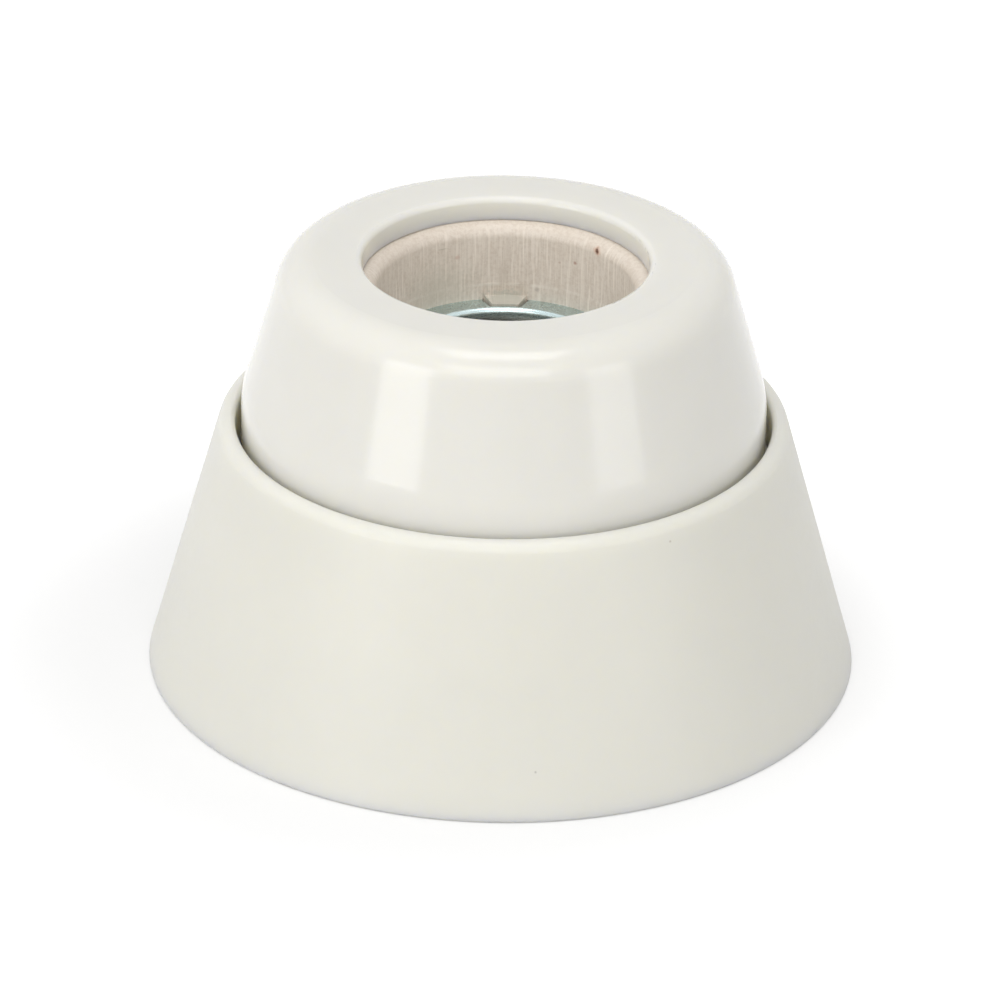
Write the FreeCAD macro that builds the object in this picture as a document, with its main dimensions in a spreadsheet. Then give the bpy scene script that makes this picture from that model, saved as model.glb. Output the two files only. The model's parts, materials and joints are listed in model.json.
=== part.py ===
import FreeCAD, Part
import os
import re
import Sketcher

# Batten lamp holder for an E27 lamp: a moulded conical base, a cap that screws
# into it, and a porcelain insert that carries the screw shell, the contacts and
# the terminals. Millimetres, origin at the centre of the mounting face, +Z
# towards the lamp, terminals along +Y and -Y, fixing slots along +X and -X.

doc = FreeCAD.newDocument("lamp_holder")

# Driving sizes, then the sizes worked out from them.
SIZES = [
    ("foot_r", "46", "outer radius of the base on the ceiling"),
    ("rim_z", "34.35", "height of the rim"),
    ("rim_round", "1.7", "outer rounding of the rim"),
    ("rim_inner_round", "0.6", "inner rounding of the rim"),
    ("foot_round", "0.3", "rounding where the base meets the ceiling"),
    ("rim_w", "1.85", "level width of the rim, before rounding"),
    ("hub_wall", "2.6", "wall between that bore and the hollow under the cone"),
    ("cone_wall", "2.9", "level thickness of the cone's outer wall"),
    ("hollow_tip", "1.2", "width of the hollow at its narrow upper end"),
    ("floor_t", "3", "floor of the base"),
    ("floor_round", "1.5", "rounding between floor and bore"),
    ("rib_t", "1.6", "thickness of a stiffening rib under the cone"),
    ("rib_count", "12", "stiffening ribs under the cone"),
    ("rib_lift", "1", "gap between a rib and the ceiling"),
    ("bite", "0.5", "how far an added feature runs into the wall it grows from"),
    ("cable_r", "9", "cable hole in the floor"),
    ("cable_edge", "0.8", "chamfer round the cable hole"),
    ("slot_x", "28", "centre of a fixing slot from the axis"),
    ("slot_r", "2.3", "half width of a fixing slot"),
    ("slot_span", "9.2", "fixing slot from end to end"),
    ("boss_r", "4.6", "boss under an insert screw"),
    ("web_t", "2", "web between a boss and the bore"),
    ("web_drop", "3", "how far the web's top stays below the boss"),
    ("washer_gap", "0.6", "between an insert screw's washer and the tower"),
    ("bush_r", "2.8", "threaded bush moulded into a boss"),
    ("bush_floor", "4", "height of the bush's lower end"),
    ("skirt_gap", "0.8", "room for the two threads between skirt and bore"),
    ("skirt_l", "10.15", "how far the skirt reaches below the rim"),
    ("skirt_wall", "3.15", "wall of the skirt"),
    ("brow_rise", "3.35", "where the skirt turns into the cap's cone, above the rim"),
    ("brow_round", "12", "rounding of that turn"),
    ("cap_top_r", "28.34", "radius of the cap's top before rounding"),
    ("cap_z", "56.7", "height of the cap's top"),
    ("cap_round", "5", "rounding of the cap's shoulder"),
    ("mouth_r", "18.35", "hole in the cap"),
    ("mouth_round", "0.8", "rounding of the hole's edge"),
    ("lip_t", "3.1", "thickness of the cap's top"),
    ("collar_t", "2", "wall of the collar that centres the guard ring"),
    ("collar_h", "4.5", "depth of that collar"),
    ("collar_gap", "0.4", "gap between collar and guard ring"),
    ("ring_bore_r", "16.5", "bore of the guard ring"),
    ("ring_wall", "2.4", "wall of the guard ring's skirt"),
    ("ring_round", "1.85", "rounding of the guard ring's inner top edge"),
    ("ring_outer_round", "0.8", "rounding of its outer top edge"),
    ("ring_skirt_h", "2.3", "how far the ring reaches down round the insulator"),
    ("ring_gap", "0.25", "gap between the ring's skirt and the insulator"),
    ("relief_h", "2.2", "height of the relief above the flange"),
    ("relief_d", "0.25", "depth of that relief"),
    ("ring_h", "10.4", "guard ring from the flange to the cap's lip"),
    ("flange_seat", "2.2", "flange beyond the guard ring's bore"),
    ("sheet_t", "0.4", "steel sheet of the screw shell"),
    ("thread_r", "13.35", "inner radius of the shell, E27 thread root"),
    ("flange_bend", "0.75", "bend between flange and shell, on the lamp's side"),
    ("shell_l", "18.2", "shell from flange to lower end"),
    ("neck_r", "12.3", "inner radius of the shell's plain lower part"),
    ("neck_l", "5.9", "height of that part, with its step"),
    ("shell_hole_r", "9.3", "opening in the shell's turned-in bottom"),
    ("lug_r", "14.2", "inner end of a lug from the axis"),
    ("lug_w", "5.8", "width of a lug at the ring's wall"),
    ("lug_tip_w", "3.4", "width of a lug at its inner end"),
    ("lug_rise", "0.25", "how far a lug stands above the flange"),
    ("lug_drop", "0.6", "how far a lug reaches below the flange"),
    ("lug_gap", "0.3", "gap all round a lug"),
    ("spigot_rim", "0.25", "insulator's top beyond the flange"),
    ("tower_inset", "0.2", "tower inside the guard ring's outer radius"),
    ("tower_step", "0.3", "gap between the ring's skirt and the tower"),
    ("well_gap", "0.4", "gap between shell and well"),
    ("deck_t", "5", "thickness of the deck"),
    ("flat_gap", "0.9", "between the deck's flats and the fixing slots"),
    ("pan_side", "1.7", "recess beside the centre contact"),
    ("pan_end", "1", "recess beyond the contact's foot"),
    ("pan_tip", "1.2", "recess beyond the contact's free end"),
    ("pan_d", "4.6", "depth of the recess below the well"),
    ("strap_w", "6", "width of a strap"),
    ("strap_t", "1.2", "thickness of a strap"),
    ("pan_floor", "2.4", "porcelain between recess and strap"),
    ("strap_lift", "4", "top of the straps above the insulator's underside"),
    ("strap_gap", "0.2", "gap beside a strap"),
    ("strap_margin", "3.2", "strap beyond the screw that holds it"),
    ("deck_gap", "1", "between the insulator's deck and the cap's skirt"),
    ("block_clear", "0.3", "between terminal block and tower"),
    ("block_w", "8", "terminal block, across"),
    ("block_d", "6.4", "terminal block, along the wire"),
    ("block_h", "7.4", "terminal block, high"),
    ("block_gap", "0.2", "gap between block and porcelain"),
    ("wire_r", "1.5", "wire hole"),
    ("wire_lift", "2.4", "wire hole above the strap"),
    ("house_wall", "3", "porcelain beside a terminal block"),
    ("house_lip", "0.5", "terminal housing beyond its block"),
    ("house_root", "2", "how far a housing runs into the tower"),
    ("house_rise", "0.8", "housing above the block"),
    ("head_clear", "0.85", "between the shell screw's head and the shell"),
    ("contact_screw_y", "8.6", "screw through the contact's foot, from the axis"),
    ("screw_r", "1.5", "M3 shank"),
    ("screw_gap", "0.1", "gap round a shank"),
    ("head_r", "2.6", "M3 cheese head"),
    ("head_h", "1.8", "M3 head height"),
    ("slit_w", "0.8", "driver slot, M3"),
    ("slit_d", "0.9", "driver slot's depth, M3"),
    ("tip_out", "0.9", "screw tip beyond a strap"),
    ("terminal_lift", "1.2", "terminal screw's head above its block"),
    ("wire_gap", "0.2", "terminal screw's tip above the wire hole's centre"),
    ("insert_r", "1.95", "M4 shank"),
    ("insert_head_r", "3.5", "M4 cheese head"),
    ("insert_head_h", "2.6", "M4 head height"),
    ("insert_slit_w", "1.2", "driver slot, M4"),
    ("insert_slit_d", "1.2", "driver slot's depth, M4"),
    ("insert_gap", "0.25", "gap round an M4 shank in the porcelain"),
    ("insert_short", "2.2", "bush beyond the insert screw's tip"),
    ("washer_r", "3.8", "washer under an insert screw"),
    ("washer_t", "0.8", "washer's thickness"),
    ("leaf_w", "6", "width of the centre contact"),
    ("leaf_t", "0.5", "thickness of the centre contact"),
    ("leaf_rise", "3.6", "contact's top above its foot"),
    ("foot_out", "2.8", "contact's foot beyond its screw"),
    ("foot_in", "3", "from the foot's screw to the bend of the leaf"),
    ("leaf_crest", "2.2", "half length of the level top"),
    ("leaf_tip", "4.4", "free end beyond the axis"),
    ("leaf_dip", "1.1", "drop of the free end"),
]
DERIVED = [
    ("lug_half", "lug_w / 2"),
    ("hollow_r", "foot_r - cone_wall"),
    ("skirt_z", "rim_z - skirt_l"),
    ("brow_z", "rim_z + brow_rise"),
    ("lip_z", "cap_z - lip_t"),
    ("flange_z", "lip_z - ring_h"),
    ("under_z", "flange_z - sheet_t"),
    ("shell_z", "flange_z - shell_l"),
    ("shell_r", "thread_r + sheet_t"),
    ("neck_z", "shell_z + neck_l"),
    ("neck_low_z", "neck_z - (thread_r - neck_r)"),
    ("flange_r", "ring_bore_r + flange_seat"),
    ("spigot_r", "flange_r + spigot_rim"),
    ("ring_skirt_r", "spigot_r + ring_gap"),
    ("ring_skirt_z", "flange_z - ring_skirt_h"),
    ("ring_r", "ring_skirt_r + ring_wall"),
    ("collar_r", "ring_r + collar_gap"),
    ("collar_out_r", "collar_r + collar_t"),
    ("tower_r", "ring_r - tower_inset"),
    ("tower_z", "ring_skirt_z - tower_step"),
    ("well_r", "shell_r + well_gap"),
    ("pan_z", "shell_z - pan_d"),
    ("strap_z", "pan_z - pan_floor"),
    ("strap_low_z", "strap_z - strap_t"),
    ("seat_z", "strap_z - strap_lift"),
    ("deck_z", "seat_z + deck_t"),
    ("insert_ring_r", "tower_r + washer_gap + washer_r"),
    ("insert_x", "insert_ring_r * 0.70711"),
    ("deck_r", "insert_ring_r + washer_r"),
    ("skirt_in_r", "deck_r + deck_gap"),
    ("skirt_r", "skirt_in_r + skirt_wall"),
    ("bore_r", "skirt_r + skirt_gap"),
    ("rim_r", "bore_r + rim_w"),
    ("base_slope", "(foot_r - rim_r) / rim_z"),
    ("hub_r", "bore_r + hub_wall"),
    ("hollow_z", "(hollow_r - hub_r - hollow_tip) / base_slope"),
    ("brow_slope", "(skirt_r - cap_top_r) / (cap_z - brow_z)"),
    ("cave_r", "cap_top_r - skirt_wall + brow_slope * lip_t"),
    ("deck_flat", "slot_x - slot_span / 2 - flat_gap"),
    ("bush_l", "seat_z - bush_floor"),
    ("insert_l", "deck_t + washer_t + bush_l - insert_short"),
    ("insert_hole_r", "insert_r + insert_gap"),
    ("bush_hole_r", "insert_r + screw_gap"),
    ("hole_r", "screw_r + screw_gap"),
    ("block_z", "strap_z + block_h"),
    ("block_in_y", "tower_r + block_clear"),
    ("block_out_y", "block_in_y + block_d"),
    ("block_y", "block_in_y + block_d / 2"),
    ("house_out", "block_out_y + house_lip"),
    ("house_z", "block_z + house_rise"),
    ("house_w", "block_w + 2 * (block_gap + house_wall)"),
    ("wire_z", "strap_z + wire_lift"),
    ("shell_screw_y", "neck_r - head_r - head_clear"),
    ("leaf_end", "contact_screw_y + foot_out"),
    ("leaf_bend", "contact_screw_y - foot_in"),
    ("leaf_z", "pan_z + leaf_rise"),
    ("pan_w", "leaf_w + 2 * pan_side"),
    ("pan_out", "leaf_end + pan_end"),
    ("pan_in", "leaf_tip + pan_tip"),
]

sheet = doc.addObject("Spreadsheet::Sheet", "dims")


def fill_sheet():
    """Write every size as one named row of the spreadsheet."""
    for row, (name, value, note) in enumerate(SIZES, 1):
        sheet.set("A%d" % row, note)
        sheet.set("B%d" % row, value)
        sheet.setAlias("B%d" % row, name)
    for row, (name, formula) in enumerate(DERIVED, len(SIZES) + 1):
        sheet.set("B%d" % row, "=" + formula)
        sheet.setAlias("B%d" % row, name)
    doc.recompute()


fill_sheet()
NAMES = {entry[0] for entry in SIZES + DERIVED}


def bound(formula):
    """The formula with every size name pointing at its row in the spreadsheet."""
    def point(word):
        return "dims." + word[0] if word[0] in NAMES else word[0]
    return re.sub(r"[a-z_]\w*", point, formula)


def value(formula):
    """The formula's present value."""
    return float(sheet.evalExpression(bound(formula)))


# ---------------------------------------------------------------- modelling aids


def new_body(label):
    """An empty PartDesign body for one piece."""
    body = doc.addObject("PartDesign::Body", label)
    body.Label = label
    return body


def origin_feature(body, role):
    """The body's own origin plane or axis of that role."""
    return next(f for f in body.Origin.OriginFeatures if f.Role == role)


def new_sketch(body, name, role, offset="0"):
    """A sketch on one of the body's origin planes, moved along its normal."""
    sketch = body.newObject("Sketcher::SketchObject", name)
    sketch.AttachmentSupport = (origin_feature(body, role), [""])
    sketch.MapMode = "FlatFace"
    if offset != "0":
        sketch.setExpression(".AttachmentOffset.Base.z", bound(offset))
    doc.recompute()
    return sketch


def pin_point(sketch, geo, point, x, y):
    """Fix a sketch point at formulas x, y from the sketch's origin."""
    for kind, formula, axis in (("DistanceX", x, -2), ("DistanceY", y, -1)):
        if formula == "0":
            sketch.addConstraint(
                Sketcher.Constraint("PointOnObject", geo, point, axis))
        else:
            row = sketch.addConstraint(Sketcher.Constraint(
                kind, -1, 1, geo, point, value(formula)))
            sketch.setExpression("Constraints[%d]" % row, bound(formula))


def draw_polygon(sketch, corners):
    """A closed outline of straight lines through the corners, each an (x, y)."""
    spots = [FreeCAD.Vector(value(x), value(y), 0) for x, y in corners]
    first = sketch.GeometryCount
    count = len(corners)
    for i in range(count):
        sketch.addGeometry(Part.LineSegment(spots[i], spots[(i + 1) % count]))
    for i in range(count):
        after = first + (i + 1) % count
        sketch.addConstraint(
            Sketcher.Constraint("Coincident", first + i, 2, after, 1))
    for i, (x, y) in enumerate(corners):
        pin_point(sketch, first + i, 1, x, y)


def draw_rectangle(sketch, x_low, x_high, y_low, y_high):
    """A rectangle between four formulas."""
    draw_polygon(sketch, [(x_low, y_low), (x_high, y_low),
                          (x_high, y_high), (x_low, y_high)])


def draw_circle(sketch, x, y, r):
    """A circle of radius r about x, y."""
    geo = sketch.addGeometry(Part.Circle(
        FreeCAD.Vector(value(x), value(y), 0), FreeCAD.Vector(0, 0, 1), value(r)))
    row = sketch.addConstraint(Sketcher.Constraint("Radius", geo, value(r)))
    sketch.setExpression("Constraints[%d]" % row, bound(r))
    pin_point(sketch, geo, 3, x, y)


def draw_slot(sketch, x, half_length, r):
    """A slot along X, centred at x on the axis, with round ends of radius r."""
    centre, reach, wide = value(x), value(half_length), value(r)
    up = FreeCAD.Vector(0, 0, 1)
    ends = [FreeCAD.Vector(centre + reach - wide, 0, 0),
            FreeCAD.Vector(centre - reach + wide, 0, 0)]
    right = sketch.addGeometry(Part.ArcOfCircle(
        Part.Circle(ends[0], up, wide), -1.5707963, 1.5707963))
    left = sketch.addGeometry(Part.ArcOfCircle(
        Part.Circle(ends[1], up, wide), 1.5707963, 4.7123890))
    high = FreeCAD.Vector(0, wide, 0)
    top = sketch.addGeometry(Part.LineSegment(ends[0] + high, ends[1] + high))
    low = sketch.addGeometry(Part.LineSegment(ends[1] - high, ends[0] - high))
    for a, a_end, b, b_end in ((right, 2, top, 1), (top, 2, left, 1),
                               (left, 2, low, 1), (low, 2, right, 1)):
        sketch.addConstraint(Sketcher.Constraint("Tangent", a, a_end, b, b_end))
    row = sketch.addConstraint(Sketcher.Constraint("Radius", right, wide))
    sketch.setExpression("Constraints[%d]" % row, bound(r))
    sketch.addConstraint(Sketcher.Constraint("Equal", right, left))
    pin_point(sketch, right, 3, "%s + %s - %s" % (x, half_length, r), "0")
    row = sketch.addConstraint(Sketcher.Constraint(
        "DistanceX", -1, 1, left, 3, centre - reach + wide))
    sketch.setExpression("Constraints[%d]" % row,
                         bound("%s - %s + %s" % (x, half_length, r)))


def revolve(body, name, corners, kind="Revolution"):
    """Turn an (r, z) outline about Z, adding or, as a Groove, cutting."""
    sketch = new_sketch(body, name + "_outline", "XZ_Plane")
    draw_polygon(sketch, corners)
    feature = body.newObject("PartDesign::" + kind, name)
    feature.Profile = sketch
    feature.ReferenceAxis = (sketch, ["V_Axis"])
    feature.Angle = 360
    doc.recompute()
    return feature


def extrude(body, name, sketch, length, kind="Pad", back=False, both=False):
    """Pad or pocket a sketch by a length along its normal, or half each way."""
    feature = body.newObject("PartDesign::" + kind, name)
    feature.Profile = sketch
    feature.setExpression("Length", bound(length))
    feature.Reversed = back
    if both:
        feature.SideType = "Symmetric"
    doc.recompute()
    return feature


def repeat(body, name, features, count="2"):
    """Repeat features about Z, evenly round the full circle."""
    pattern = body.newObject("PartDesign::PolarPattern", name)
    pattern.Originals = features
    pattern.Axis = (origin_feature(body, "Z_Axis"), [""])
    pattern.Angle = 360
    pattern.setExpression("Occurrences", bound(count))
    body.Tip = pattern
    doc.recompute()
    return pattern


def rings_at(shape, r, z):
    """Names of the circular edges about Z with that radius and height."""
    found = []
    for number, edge in enumerate(shape.Edges, 1):
        curve = edge.Curve
        if not isinstance(curve, Part.Circle):
            continue
        centred = abs(curve.Center.x) < 1e-4 and abs(curve.Center.y) < 1e-4
        level = abs(curve.Center.z - value(z)) < 1e-4
        if centred and level and abs(curve.Radius - value(r)) < 1e-4:
            found.append("Edge%d" % number)
    return found


def round_ring(body, name, r, z, size, kind="Fillet"):
    """Round, or chamfer, the edge that runs about Z at radius r and height z."""
    before = body.Tip
    feature = body.newObject("PartDesign::" + kind, name)
    feature.Base = (before, rings_at(before.Shape, r, z))
    dimension = "Radius" if kind == "Fillet" else "Size"
    feature.setExpression(dimension, bound(size))
    doc.recompute()
    return feature


# ------------------------------------------------------------------ moulded pieces


def make_base_housing():
    """Conical base: threaded bore, floor, ribbed hollow under the cone, bosses."""
    body = new_body("base_housing")
    revolve(body, "base_form", [
        ("cable_r", "0"), ("hub_r", "0"), ("hub_r", "hollow_z"),
        ("hub_r + hollow_tip", "hollow_z"), ("hollow_r", "0"), ("foot_r", "0"),
        ("rim_r", "rim_z"), ("bore_r", "rim_z"), ("bore_r", "floor_t"),
        ("cable_r", "floor_t")])
    round_ring(body, "rim_rounding", "rim_r", "rim_z", "rim_round")
    round_ring(body, "rim_inner_rounding", "bore_r", "rim_z", "rim_inner_round")
    round_ring(body, "floor_rounding", "bore_r", "floor_t", "floor_round")
    round_ring(body, "foot_rounding", "foot_r", "0", "foot_round")
    round_ring(body, "cable_chamfer", "cable_r", "floor_t", "cable_edge", "Chamfer")
    add_ribs(body)
    add_bosses(body)
    cut_fixing_slots(body)
    return body


def add_ribs(body):
    """Radial ribs across the hollow under the cone."""
    outline = new_sketch(body, "rib_outline", "XZ_Plane")
    draw_polygon(outline, [
        ("hub_r - bite", "rib_lift"),
        ("hollow_r - base_slope * rib_lift + bite", "rib_lift"),
        ("hub_r + hollow_tip + bite", "hollow_z + bite"),
        ("hub_r - bite", "hollow_z + bite")])
    rib = extrude(body, "rib", outline, "rib_t", both=True)
    repeat(body, "ribs", [rib], "rib_count")


def add_bosses(body):
    """Two bosses with webs and bush holes, diagonally opposite."""
    foot = new_sketch(body, "boss_outline", "XY_Plane", "floor_t - bite")
    draw_circle(foot, "insert_x", "insert_x", "boss_r")
    boss = extrude(body, "boss", foot, "seat_z - floor_t + bite")
    strip = new_sketch(body, "web_outline", "XY_Plane", "floor_t - bite")
    side = "web_t * 0.35355"
    out = "(bore_r + bite) * 0.70711"
    draw_polygon(strip, [
        ("insert_x + " + side, "insert_x - " + side),
        (out + " + " + side, out + " - " + side),
        (out + " - " + side, out + " + " + side),
        ("insert_x - " + side, "insert_x + " + side)])
    web = extrude(body, "web", strip, "seat_z - web_drop - floor_t + bite")
    mouth = new_sketch(body, "bush_hole_outline", "XY_Plane", "seat_z")
    draw_circle(mouth, "insert_x", "insert_x", "bush_r")
    hole = extrude(body, "bush_hole", mouth, "bush_l", "Pocket")
    repeat(body, "bosses", [boss, web, hole])


def cut_fixing_slots(body):
    """Two slots through the floor, on the X axis."""
    outline = new_sketch(body, "slot_outline", "XY_Plane", "floor_t")
    draw_slot(outline, "slot_x", "slot_span / 2", "slot_r")
    slot = extrude(body, "slot", outline, "floor_t", "Pocket")
    repeat(body, "slots", [slot])


def make_cap():
    """Cap: cone on a plain skirt, flat top with a round mouth, collar inside."""
    body = new_body("cap")
    revolve(body, "cap_form", [
        ("mouth_r", "lip_z"), ("mouth_r", "cap_z"), ("cap_top_r", "cap_z"),
        ("skirt_r", "brow_z"), ("skirt_r", "skirt_z"), ("skirt_in_r", "skirt_z"),
        ("skirt_in_r", "brow_z"), ("cave_r", "lip_z"), ("collar_out_r", "lip_z"),
        ("collar_out_r", "lip_z - collar_h"), ("collar_r", "lip_z - collar_h"),
        ("collar_r", "lip_z")])
    round_ring(body, "brow", "skirt_r", "brow_z", "brow_round")
    round_ring(body, "shoulder", "cap_top_r", "cap_z", "cap_round")
    round_ring(body, "mouth_rounding", "mouth_r", "cap_z", "mouth_round")
    return body


# ---------------------------------------------------------------- porcelain pieces


def make_guard_ring():
    """Ring over the flange, with two lugs that key the shell to the insulator."""
    body = new_body("guard_ring")
    revolve(body, "ring_form", [
        ("ring_bore_r", "flange_z"), ("ring_bore_r", "lip_z"), ("ring_r", "lip_z"),
        ("ring_r", "ring_skirt_z"), ("ring_skirt_r", "ring_skirt_z"),
        ("ring_skirt_r", "flange_z")])
    round_ring(body, "mouth_rounding", "ring_bore_r", "lip_z", "ring_round")
    round_ring(body, "edge_rounding", "ring_r", "lip_z", "ring_outer_round")
    revolve(body, "relief", [
        ("ring_bore_r - bite", "flange_z"), ("ring_bore_r + relief_d", "flange_z"),
        ("ring_bore_r + relief_d", "flange_z + relief_h - relief_d"),
        ("ring_bore_r", "flange_z + relief_h"),
        ("ring_bore_r - bite", "flange_z + relief_h")], "Groove")
    filling = new_sketch(body, "full_wall_outline", "XY_Plane", "flange_z")
    near = "sqrt(ring_bore_r * ring_bore_r - lug_half * lug_half)"
    draw_polygon(filling, [
        ("-lug_half", near), ("0", "ring_bore_r"), ("lug_half", near),
        ("lug_half", "ring_bore_r + bite"), ("-lug_half", "ring_bore_r + bite")])
    wall = extrude(body, "full_wall", filling, "relief_h")
    tongue = new_sketch(body, "lug_outline", "XY_Plane", "under_z - lug_drop")
    draw_polygon(tongue, [
        ("-lug_tip_w / 2", "lug_r"), ("lug_tip_w / 2", "lug_r"),
        ("lug_w / 2", "ring_bore_r"), ("lug_w / 2", "ring_bore_r + bite"),
        ("-lug_w / 2", "ring_bore_r + bite"), ("-lug_w / 2", "ring_bore_r")])
    lug = extrude(body, "lug", tongue, "lug_drop + sheet_t + lug_rise")
    repeat(body, "lugs", [wall, lug])
    return body


def make_insulator():
    """Porcelain insert: well for the shell, contact pan, terminal housings."""
    body = new_body("insulator")
    revolve(body, "insulator_form", [
        ("0", "seat_z"), ("deck_r", "seat_z"), ("deck_r", "deck_z"),
        ("tower_r", "deck_z"), ("tower_r", "tower_z"), ("spigot_r", "tower_z"),
        ("spigot_r", "under_z"), ("well_r", "under_z"), ("well_r", "shell_z"),
        ("0", "shell_z")])
    cut_deck_flats(body)
    cut_contact_pan(body)
    add_terminal_housings(body)
    cut_screw_holes(body)
    return body


def cut_deck_flats(body):
    """Flats on the deck that leave the fixing slots in reach of a driver."""
    outline = new_sketch(body, "flat_outline", "XY_Plane", "deck_z")
    draw_rectangle(outline, "deck_flat", "deck_r + bite", "-deck_r", "deck_r")
    flat = extrude(body, "flat", outline, "deck_t", "Pocket")
    repeat(body, "flats", [flat])


def cut_contact_pan(body):
    """Recess below the well that holds the centre contact."""
    outline = new_sketch(body, "pan_outline", "XY_Plane", "shell_z")
    draw_rectangle(outline, "-pan_w / 2", "pan_w / 2", "-pan_in", "pan_out")
    extrude(body, "pan", outline, "pan_d", "Pocket")


def add_terminal_housings(body):
    """Walled housings on both sides, each with a pocket and a strap channel."""
    block = new_sketch(body, "housing_outline", "XY_Plane", "seat_z")
    draw_rectangle(block, "-house_w / 2", "house_w / 2", "tower_r - house_root",
                   "house_out")
    housing = extrude(body, "housing", block, "house_z - seat_z")
    room = new_sketch(body, "pocket_outline", "XY_Plane", "house_z")
    draw_rectangle(room, "-block_w / 2 - block_gap", "block_w / 2 + block_gap",
                   "block_in_y - block_gap", "deck_r + bite")
    pocket = extrude(body, "pocket", room, "house_z - strap_low_z", "Pocket")
    lane = new_sketch(body, "channel_outline", "XY_Plane", "seat_z")
    draw_rectangle(lane, "-strap_w / 2 - strap_gap", "strap_w / 2 + strap_gap",
                   "contact_screw_y - strap_margin - strap_gap", "block_in_y")
    channel = extrude(body, "channel", lane, "strap_z - seat_z", "Pocket", back=True)
    seat = new_sketch(body, "lug_seat_outline", "XY_Plane", "under_z")
    draw_rectangle(seat, "-lug_w / 2 - lug_gap", "lug_w / 2 + lug_gap",
                   "well_r - bite", "ring_bore_r + bite + lug_gap")
    lug_seat = extrude(body, "lug_seat", seat, "lug_drop + lug_gap", "Pocket")
    repeat(body, "sides", [housing, pocket, channel, lug_seat])


def cut_screw_holes(body):
    """Holes for the contact screw, the shell screw and the two insert screws."""
    small = new_sketch(body, "contact_hole_outline", "XY_Plane", "shell_z")
    draw_circle(small, "0", "contact_screw_y", "hole_r")
    draw_circle(small, "0", "-shell_screw_y", "hole_r")
    extrude(body, "contact_holes", small, "shell_z - seat_z", "Pocket")
    large = new_sketch(body, "insert_hole_outline", "XY_Plane", "deck_z")
    draw_circle(large, "insert_x", "insert_x", "insert_hole_r")
    hole = extrude(body, "insert_hole", large, "deck_t", "Pocket")
    repeat(body, "insert_holes", [hole])


# --------------------------------------------------------------------- metal pieces


def make_screw_shell():
    """Drawn steel shell: keyed flange, threaded tube, plain neck, bottom with a tab."""
    body = new_body("screw_shell")
    revolve(body, "shell_form", [
        ("thread_r", "flange_z"), ("flange_r", "flange_z"), ("flange_r", "under_z"),
        ("shell_r", "under_z"), ("shell_r", "neck_z"),
        ("neck_r + sheet_t", "neck_low_z"), ("neck_r + sheet_t", "shell_z"),
        ("shell_hole_r", "shell_z"), ("shell_hole_r", "shell_z + sheet_t"),
        ("neck_r", "shell_z + sheet_t"), ("neck_r", "neck_low_z"),
        ("thread_r", "neck_z")])
    round_ring(body, "flange_bend_in", "thread_r", "flange_z", "flange_bend")
    round_ring(body, "flange_bend_out", "shell_r", "under_z", "flange_bend - sheet_t")
    round_ring(body, "foot_bend_out", "neck_r + sheet_t", "shell_z", "flange_bend")
    round_ring(body, "foot_bend_in", "neck_r", "shell_z + sheet_t",
               "flange_bend - sheet_t")
    outline = new_sketch(body, "notch_outline", "XY_Plane", "flange_z")
    draw_polygon(outline, [
        ("-lug_tip_w / 2 - lug_gap", "thread_r + flange_bend"),
        ("lug_tip_w / 2 + lug_gap", "thread_r + flange_bend"),
        ("lug_w / 2 + lug_gap", "ring_bore_r"), ("lug_w / 2 + lug_gap", "flange_r + bite"),
        ("-lug_w / 2 - lug_gap", "flange_r + bite"), ("-lug_w / 2 - lug_gap", "ring_bore_r")])
    notch = extrude(body, "notch", outline, "sheet_t", "Pocket")
    repeat(body, "notches", [notch])
    tab = new_sketch(body, "tab_outline", "XY_Plane", "shell_z")
    draw_rectangle(tab, "-head_r - bite", "head_r + bite",
                   "-shell_hole_r - 2 * bite", "-shell_screw_y + head_r + bite")
    extrude(body, "tab", tab, "sheet_t")
    eye = new_sketch(body, "eye_outline", "XY_Plane", "shell_z + sheet_t")
    draw_circle(eye, "0", "-shell_screw_y", "hole_r")
    extrude(body, "eye", eye, "sheet_t", "Pocket")
    return body


def make_centre_contact():
    """Sprung strip: flat foot under its screw, rising leaf, crest, dipped end."""
    body = new_body("centre_contact")
    outline = new_sketch(body, "leaf_outline", "YZ_Plane")
    line = [("leaf_end", "pan_z"), ("leaf_bend", "pan_z"), ("leaf_crest", "leaf_z"),
            ("-leaf_crest", "leaf_z"), ("-leaf_tip", "leaf_z - leaf_dip")]
    back = [(y, z + " + leaf_t") for y, z in reversed(line)]
    draw_polygon(outline, line + back)
    extrude(body, "leaf", outline, "leaf_w", both=True)
    eye = new_sketch(body, "foot_eye_outline", "XY_Plane", "pan_z + leaf_t")
    draw_circle(eye, "0", "contact_screw_y", "hole_r")
    extrude(body, "foot_eye", eye, "leaf_t", "Pocket")
    return body


def make_strap(label, screw_y, side):
    """Brass strip from the screw that holds it to under its terminal block."""
    body = new_body(label)
    sign = "" if side > 0 else "-1 * "
    outline = new_sketch(body, label + "_outline", "XY_Plane", "strap_low_z")
    draw_rectangle(outline, "-strap_w / 2", "strap_w / 2",
                   sign + "( %s - strap_margin )" % screw_y, sign + "block_out_y")
    draw_circle(outline, "0", sign + screw_y, "hole_r")
    extrude(body, label + "_strip", outline, "strap_t")
    return body


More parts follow.
